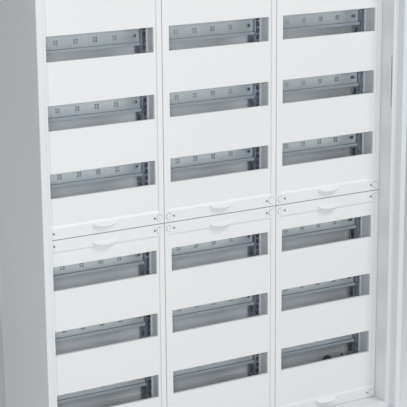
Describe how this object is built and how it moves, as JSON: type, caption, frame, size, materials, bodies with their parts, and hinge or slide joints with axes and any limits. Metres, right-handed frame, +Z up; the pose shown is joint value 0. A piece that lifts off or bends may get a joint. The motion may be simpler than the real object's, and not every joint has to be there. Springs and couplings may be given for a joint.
{
  "type": "industrial switchboard cabinet",
  "caption": "Surface-mounted sheet-steel distribution cabinet with side-by-side device fields, slotted lift-off covers, quarter-turn locks and DIN rails on perforated uprights.",
  "frame": {"origin": "middle of the bottom face of the cabinet, in width and in depth", "axes": "+Z up, the open front faces -Y, +X to the right when seen from the front"},
  "size_m": [0.8, 0.205, 1.1],
  "materials": {
    "enclosure_white": "fine satin powder coat, signal white",
    "inner_grey": "grey primer coat, matt",
    "cover_white": "fine satin white moulding",
    "lock_plastic": "semi-gloss white",
    "zinc_steel": "galvanised",
    "rail_steel": "bright zinc, blue passivated",
    "grommet_rubber": "matt",
    "brass": "plain"
  },
  "bodies": {
    "cabinet": {"back_panel": "inner_grey", "side_panel_left": "enclosure_white", "side_panel_right": "enclosure_white", "top_panel": "enclosure_white", "bottom_panel": "enclosure_white", "entry_plate_top": "enclosure_white", "entry_plate_bottom": "enclosure_white", "entry_grommets": "grommet_rubber", "rear_plates": "enclosure_white", "rear_knockouts": "zinc_steel", "panel_rivets": "zinc_steel", "earth_stud": "brass", "upright_1": "zinc_steel", "upright_2": "zinc_steel", "upright_3": "zinc_steel", "upright_4": "zinc_steel", "cover_rail_1": "inner_grey", "cover_rail_2": "inner_grey", "cover_rail_3": "inner_grey", "cover_rail_4": "inner_grey", "crossbar_top": "zinc_steel", "crossbar_bottom": "zinc_steel", "crossbar_standoffs": "zinc_steel", "screws": "zinc_steel", "din_rails_left": "rail_steel", "din_rails_centre": "rail_steel", "din_rails_right": "rail_steel", "rail_clips_left": "zinc_steel", "rail_clips_centre": "zinc_steel", "rail_clips_right": "zinc_steel"},
    "cover_lower_left": {"cover_lower_left": "cover_white"},
    "lock_lower_left_bl": {"lock_lower_left_bl": "lock_plastic"},
    "lock_lower_left_br": {"lock_lower_left_br": "lock_plastic"},
    "lock_lower_left_tl": {"lock_lower_left_tl": "lock_plastic"},
    "lock_lower_left_tr": {"lock_lower_left_tr": "lock_plastic"},
    "cover_lower_centre": {"cover_lower_centre": "cover_white"},
    "lock_lower_centre_bl": {"lock_lower_centre_bl": "lock_plastic"},
    "lock_lower_centre_br": {"lock_lower_centre_br": "lock_plastic"},
    "lock_lower_centre_tl": {"lock_lower_centre_tl": "lock_plastic"},
    "lock_lower_centre_tr": {"lock_lower_centre_tr": "lock_plastic"},
    "cover_lower_right": {"cover_lower_right": "cover_white"},
    "lock_lower_right_bl": {"lock_lower_right_bl": "lock_plastic"},
    "lock_lower_right_br": {"lock_lower_right_br": "lock_plastic"},
    "lock_lower_right_tl": {"lock_lower_right_tl": "lock_plastic"},
    "lock_lower_right_tr": {"lock_lower_right_tr": "lock_plastic"},
    "cover_upper_left": {"cover_upper_left": "cover_white"},
    "lock_upper_left_bl": {"lock_upper_left_bl": "lock_plastic"},
    "lock_upper_left_br": {"lock_upper_left_br": "lock_plastic"},
    "lock_upper_left_tl": {"lock_upper_left_tl": "lock_plastic"},
    "lock_upper_left_tr": {"lock_upper_left_tr": "lock_plastic"},
    "cover_upper_centre": {"cover_upper_centre": "cover_white"},
    "lock_upper_centre_bl": {"lock_upper_centre_bl": "lock_plastic"},
    "lock_upper_centre_br": {"lock_upper_centre_br": "lock_plastic"},
    "lock_upper_centre_tl": {"lock_upper_centre_tl": "lock_plastic"},
    "lock_upper_centre_tr": {"lock_upper_centre_tr": "lock_plastic"},
    "cover_upper_right": {"cover_upper_right": "cover_white"},
    "lock_upper_right_bl": {"lock_upper_right_bl": "lock_plastic"},
    "lock_upper_right_br": {"lock_upper_right_br": "lock_plastic"},
    "lock_upper_right_tl": {"lock_upper_right_tl": "lock_plastic"},
    "lock_upper_right_tr": {"lock_upper_right_tr": "lock_plastic"}
  },
  "joints": [
    {"name": "cover_lower_left_lift_off", "type": "slide", "parent": "cabinet", "child": "cover_lower_left", "axis": [0, -1, 0], "range_m": [0, 0.14]},
    {"name": "lock_lower_left_bl_turn", "type": "hinge", "parent": "cover_lower_left", "child": "lock_lower_left_bl", "pos_m": [-0.3645, -0.0475, 0.037], "axis": [0, 1, 0], "range_deg": [0, 90]},
    {"name": "lock_lower_left_br_turn", "type": "hinge", "parent": "cover_lower_left", "child": "lock_lower_left_br", "pos_m": [-0.1355, -0.0475, 0.037], "axis": [0, 1, 0], "range_deg": [0, 90]},
    {"name": "lock_lower_left_tl_turn", "type": "hinge", "parent": "cover_lower_left", "child": "lock_lower_left_tl", "pos_m": [-0.3645, -0.0475, 0.463], "axis": [0, 1, 0], "range_deg": [0, 90]},
    {"name": "lock_lower_left_tr_turn", "type": "hinge", "parent": "cover_lower_left", "child": "lock_lower_left_tr", "pos_m": [-0.1355, -0.0475, 0.463], "axis": [0, 1, 0], "range_deg": [0, 90]},
    {"name": "cover_lower_centre_lift_off", "type": "slide", "parent": "cabinet", "child": "cover_lower_centre", "axis": [0, -1, 0], "range_m": [0, 0.14]},
    {"name": "lock_lower_centre_bl_turn", "type": "hinge", "parent": "cover_lower_centre", "child": "lock_lower_centre_bl", "pos_m": [-0.1145, -0.0475, 0.037], "axis": [0, 1, 0], "range_deg": [0, 90]},
    {"name": "lock_lower_centre_br_turn", "type": "hinge", "parent": "cover_lower_centre", "child": "lock_lower_centre_br", "pos_m": [0.1145, -0.0475, 0.037], "axis": [0, 1, 0], "range_deg": [0, 90]},
    {"name": "lock_lower_centre_tl_turn", "type": "hinge", "parent": "cover_lower_centre", "child": "lock_lower_centre_tl", "pos_m": [-0.1145, -0.0475, 0.463], "axis": [0, 1, 0], "range_deg": [0, 90]},
    {"name": "lock_lower_centre_tr_turn", "type": "hinge", "parent": "cover_lower_centre", "child": "lock_lower_centre_tr", "pos_m": [0.1145, -0.0475, 0.463], "axis": [0, 1, 0], "range_deg": [0, 90]},
    {"name": "cover_lower_right_lift_off", "type": "slide", "parent": "cabinet", "child": "cover_lower_right", "axis": [0, -1, 0], "range_m": [0, 0.14]},
    {"name": "lock_lower_right_bl_turn", "type": "hinge", "parent": "cover_lower_right", "child": "lock_lower_right_bl", "pos_m": [0.1355, -0.0475, 0.037], "axis": [0, 1, 0], "range_deg": [0, 90]},
    {"name": "lock_lower_right_br_turn", "type": "hinge", "parent": "cover_lower_right", "child": "lock_lower_right_br", "pos_m": [0.3645, -0.0475, 0.037], "axis": [0, 1, 0], "range_deg": [0, 90]},
    {"name": "lock_lower_right_tl_turn", "type": "hinge", "parent": "cover_lower_right", "child": "lock_lower_right_tl", "pos_m": [0.1355, -0.0475, 0.463], "axis": [0, 1, 0], "range_deg": [0, 90]},
    {"name": "lock_lower_right_tr_turn", "type": "hinge", "parent": "cover_lower_right", "child": "lock_lower_right_tr", "pos_m": [0.3645, -0.0475, 0.463], "axis": [0, 1, 0], "range_deg": [0, 90]},
    {"name": "cover_upper_left_lift_off", "type": "slide", "parent": "cabinet", "child": "cover_upper_left", "axis": [0, -1, 0], "range_m": [0, 0.14]},
    {"name": "lock_upper_left_bl_turn", "type": "hinge", "parent": "cover_upper_left", "child": "lock_upper_left_bl", "pos_m": [-0.3645, -0.0475, 0.487], "axis": [0, 1, 0], "range_deg": [0, 90]},
    {"name": "lock_upper_left_br_turn", "type": "hinge", "parent": "cover_upper_left", "child": "lock_upper_left_br", "pos_m": [-0.1355, -0.0475, 0.487], "axis": [0, 1, 0], "range_deg": [0, 90]},
    {"name": "lock_upper_left_tl_turn", "type": "hinge", "parent": "cover_upper_left", "child": "lock_upper_left_tl", "pos_m": [-0.3645, -0.0475, 1.063], "axis": [0, 1, 0], "range_deg": [0, 90]},
    {"name": "lock_upper_left_tr_turn", "type": "hinge", "parent": "cover_upper_left", "child": "lock_upper_left_tr", "pos_m": [-0.1355, -0.0475, 1.063], "axis": [0, 1, 0], "range_deg": [0, 90]},
    {"name": "cover_upper_centre_lift_off", "type": "slide", "parent": "cabinet", "child": "cover_upper_centre", "axis": [0, -1, 0], "range_m": [0, 0.14]},
    {"name": "lock_upper_centre_bl_turn", "type": "hinge", "parent": "cover_upper_centre", "child": "lock_upper_centre_bl", "pos_m": [-0.1145, -0.0475, 0.487], "axis": [0, 1, 0], "range_deg": [0, 90]},
    {"name": "lock_upper_centre_br_turn", "type": "hinge", "parent": "cover_upper_centre", "child": "lock_upper_centre_br", "pos_m": [0.1145, -0.0475, 0.487], "axis": [0, 1, 0], "range_deg": [0, 90]},
    {"name": "lock_upper_centre_tl_turn", "type": "hinge", "parent": "cover_upper_centre", "child": "lock_upper_centre_tl", "pos_m": [-0.1145, -0.0475, 1.063], "axis": [0, 1, 0], "range_deg": [0, 90]},
    {"name": "lock_upper_centre_tr_turn", "type": "hinge", "parent": "cover_upper_centre", "child": "lock_upper_centre_tr", "pos_m": [0.1145, -0.0475, 1.063], "axis": [0, 1, 0], "range_deg": [0, 90]},
    {"name": "cover_upper_right_lift_off", "type": "slide", "parent": "cabinet", "child": "cover_upper_right", "axis": [0, -1, 0], "range_m": [0, 0.14]},
    {"name": "lock_upper_right_bl_turn", "type": "hinge", "parent": "cover_upper_right", "child": "lock_upper_right_bl", "pos_m": [0.1355, -0.0475, 0.487], "axis": [0, 1, 0], "range_deg": [0, 90]},
    {"name": "lock_upper_right_br_turn", "type": "hinge", "parent": "cover_upper_right", "child": "lock_upper_right_br", "pos_m": [0.3645, -0.0475, 0.487], "axis": [0, 1, 0], "range_deg": [0, 90]},
    {"name": "lock_upper_right_tl_turn", "type": "hinge", "parent": "cover_upper_right", "child": "lock_upper_right_tl", "pos_m": [0.1355, -0.0475, 1.063], "axis": [0, 1, 0], "range_deg": [0, 90]},
    {"name": "lock_upper_right_tr_turn", "type": "hinge", "parent": "cover_upper_right", "child": "lock_upper_right_tr", "pos_m": [0.3645, -0.0475, 1.063], "axis": [0, 1, 0], "range_deg": [0, 90]}
  ]
}
